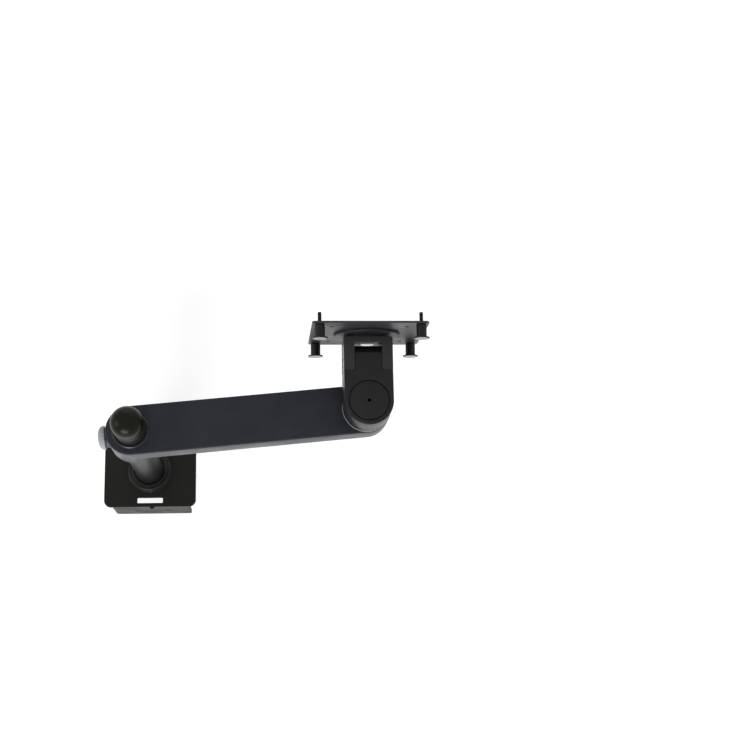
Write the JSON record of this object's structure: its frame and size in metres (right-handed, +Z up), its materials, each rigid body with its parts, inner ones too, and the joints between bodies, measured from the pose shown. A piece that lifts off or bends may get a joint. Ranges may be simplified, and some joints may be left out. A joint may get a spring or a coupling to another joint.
{
  "type": "monitor arm",
  "caption": "Desk-clamp monitor arm: pole, height-sliding swing beam, panning and tilting head, and a turning screen plate with thumb screws.",
  "frame": {"origin": "on the pole axis, on the underside of the desk pad, which is the surface of the desk", "axes": "+Z up along the pole, +Y from the rear edge of the desk towards the user, +X to the right when seen from the clamp's rear with the pole upright and the screen plate facing away"},
  "size_m": [0.3482, 0.1546, 0.4237],
  "materials": {
    "black_steel": "fine-texture black powder coat",
    "black_cast": "satin black paint on a casting",
    "blue_grey_cast": "satin dark blue-grey paint on a casting",
    "grey_steel": "dark grey powder coat",
    "pole_finish": "satin dark metallic coat",
    "plate_finish": "satin dark grey powder coat",
    "zinc_steel": "zinc-plated steel",
    "black_plastic": "fine-grained black moulding",
    "grey_plastic": "light grey moulding",
    "black_rubber": "matt rubber",
    "black_metal": "blackened, knurled metal"
  },
  "bodies": {
    "clamp_base": {"base_plate": "black_steel", "desk_pad": "black_rubber", "clamp_bracket": "grey_steel", "bracket_screws": "grey_steel", "clamp_nut": "zinc_steel", "pole_boss": "black_cast", "pole_bolt": "zinc_steel", "pole_plug": "zinc_steel", "pole": "pole_finish", "pole_cap": "black_plastic"},
    "clamp_foot": {"pressure_foot": "black_steel", "foot_pad": "black_rubber"},
    "clamp_spindle": {"clamp_screw": "zinc_steel", "clamp_knob": "black_plastic"},
    "height_collar": {"upper_bush": "black_plastic", "pole_wiper": "black_rubber", "lower_bush": "grey_plastic"},
    "arm": {"beam": "blue_grey_cast", "beam_cover": "black_plastic", "cover_screws": "zinc_steel", "elbow_washer": "grey_plastic", "elbow_pin": "zinc_steel", "elbow_top_washer": "zinc_steel", "elbow_springs": "zinc_steel", "elbow_nut": "zinc_steel"},
    "brake_shoe": {"lock_shoe": "zinc_steel"},
    "lock_spindle": {"lock_screw": "zinc_steel", "lock_knob": "grey_plastic"},
    "head": {"head_body": "black_cast", "elbow_cap": "black_plastic"},
    "tilt_yoke": {"yoke": "black_cast", "grub_screws": "zinc_steel", "tilt_bolt": "zinc_steel", "tilt_nut": "zinc_steel", "tilt_washers": "grey_plastic", "pivot_bolt": "zinc_steel", "rotation_spacer": "black_plastic"},
    "screen_plate": {"rotation_disc": "black_steel", "vesa_plate": "plate_finish"},
    "thumb_1": {"thumb_screw_1": "black_metal"},
    "thumb_2": {"thumb_screw_2": "black_metal"},
    "thumb_3": {"thumb_screw_3": "black_metal"},
    "thumb_4": {"thumb_screw_4": "black_metal"}
  },
  "joints": [
    {"name": "clamp_travel", "type": "slide", "parent": "clamp_base", "child": "clamp_foot", "axis": [0, 0, 1], "range_m": [-0.0155, 0.015]},
    {"name": "clamp_turn", "type": "hinge", "parent": "clamp_foot", "child": "clamp_spindle", "pos_m": [0.002, 0.004, 0], "axis": [0, 0, 1], "range_deg": [-3722, 3602]},
    {"name": "height_slide", "type": "slide", "parent": "clamp_base", "child": "height_collar", "axis": [0, 0, 1], "range_m": [-0.17, 0.03]},
    {"name": "arm_swing", "type": "hinge", "parent": "height_collar", "child": "arm", "pos_m": [0, 0, 0], "axis": [0, 0, 1], "continuous": true},
    {"name": "shoe_travel", "type": "slide", "parent": "arm", "child": "brake_shoe", "axis": [-0.996, -0.0889, 0], "range_m": [0, 0.001]},
    {"name": "lock_turn", "type": "hinge", "parent": "brake_shoe", "child": "lock_spindle", "pos_m": [0, 0, 0.22], "axis": [-0.996, -0.0889, 0], "range_deg": [0, 289]},
    {"name": "head_pan", "type": "hinge", "parent": "arm", "child": "head", "pos_m": [0.23766, 0.02121, 0], "axis": [0, 0, 1], "range_deg": [-175, 5]},
    {"name": "screen_tilt", "type": "hinge", "parent": "head", "child": "tilt_yoke", "pos_m": [0.23766, 0.06021, 0.2666], "axis": [1, 0, 0], "range_deg": [-25, 40]},
    {"name": "screen_turn", "type": "hinge", "parent": "tilt_yoke", "child": "screen_plate", "pos_m": [0.23766, 0.09511, 0.26928], "axis": [0, 0.9971, 0.0767], "range_deg": [-90, 90]},
    {"name": "thumb_turn_1", "type": "hinge", "parent": "screen_plate", "child": "thumb_1", "pos_m": [0.18765, 0.08928, 0.31898], "axis": [0, 0.9971, 0.0767], "continuous": true},
    {"name": "thumb_turn_2", "type": "hinge", "parent": "screen_plate", "child": "thumb_2", "pos_m": [0.28765, 0.08928, 0.31898], "axis": [0, 0.9971, 0.0767], "continuous": true},
    {"name": "thumb_turn_3", "type": "hinge", "parent": "screen_plate", "child": "thumb_3", "pos_m": [0.28765, 0.09695, 0.21928], "axis": [0, 0.9971, 0.0767], "continuous": true},
    {"name": "thumb_turn_4", "type": "hinge", "parent": "screen_plate", "child": "thumb_4", "pos_m": [0.18765, 0.09695, 0.21928], "axis": [0, 0.9971, 0.0767], "continuous": true}
  ],
  "couplings": [
    {"joint": "clamp_turn", "follows": "clamp_travel", "rad_per_m": 4188.8},
    {"joint": "lock_turn", "follows": "shoe_travel", "rad_per_m": 5026.5}
  ]
}
